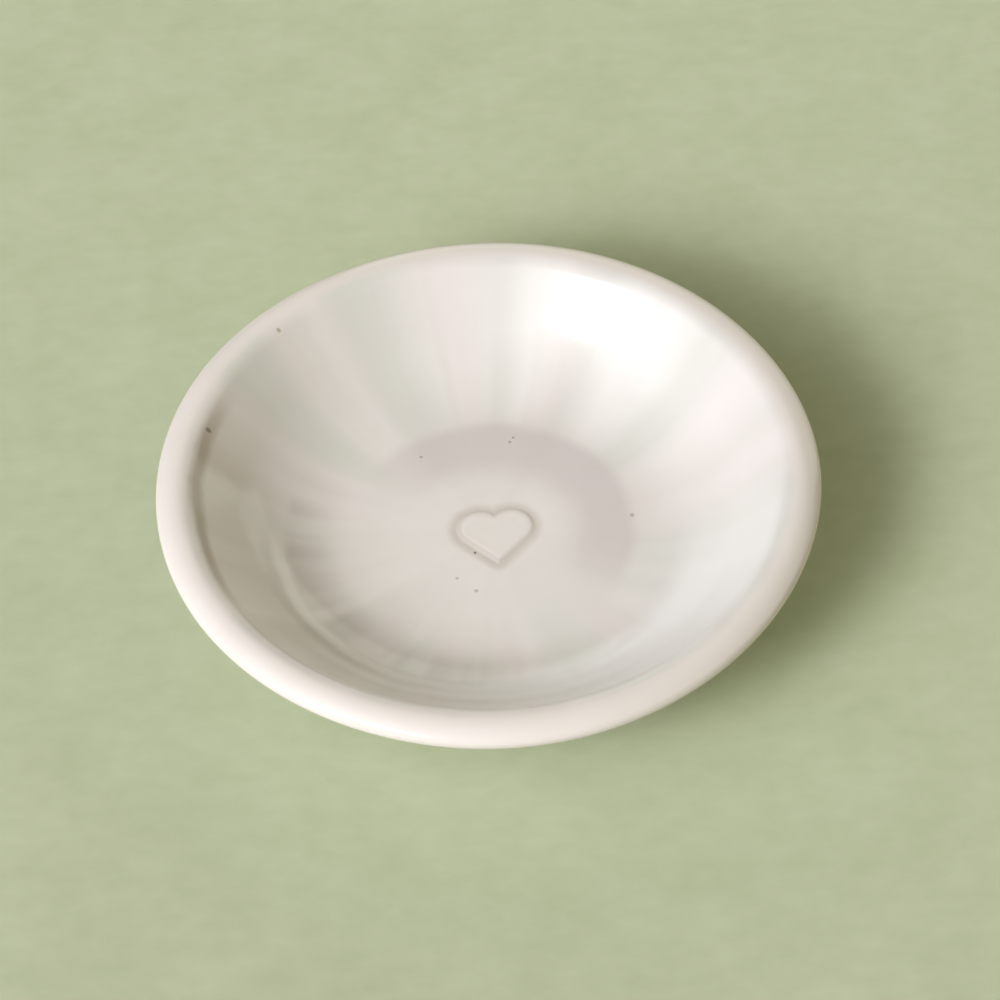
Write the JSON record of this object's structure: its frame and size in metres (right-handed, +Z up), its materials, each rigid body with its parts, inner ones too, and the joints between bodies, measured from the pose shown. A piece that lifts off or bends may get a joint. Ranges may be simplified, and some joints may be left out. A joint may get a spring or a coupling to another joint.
{
  "type": "ring dish",
  "caption": "Small round shallow dish with a broad rounded rim, a foot ring and a heart in low relief on its floor, for keeping finger rings.",
  "frame": {"origin": "centre of the foot ring's resting face, on the table", "axes": "+Z up along the axis the dish was turned on; the heart's tip points along -Y, towards the person using it"},
  "size_m": [0.09, 0.09, 0.0175],
  "materials": {
    "bare_stoneware": "fired and unglazed, fine matt grain",
    "sprig_stoneware": "fired, moulded smooth, all of it under the glaze",
    "milk_glaze": "glossy milk-white glaze with soft streaks and a few iron specks"
  },
  "bodies": {
    "root": {"clay_body": "bare_stoneware", "heart_sprig": "sprig_stoneware", "glaze_coat": "milk_glaze", "underside_glaze": "milk_glaze"}
  },
  "joints": []
}
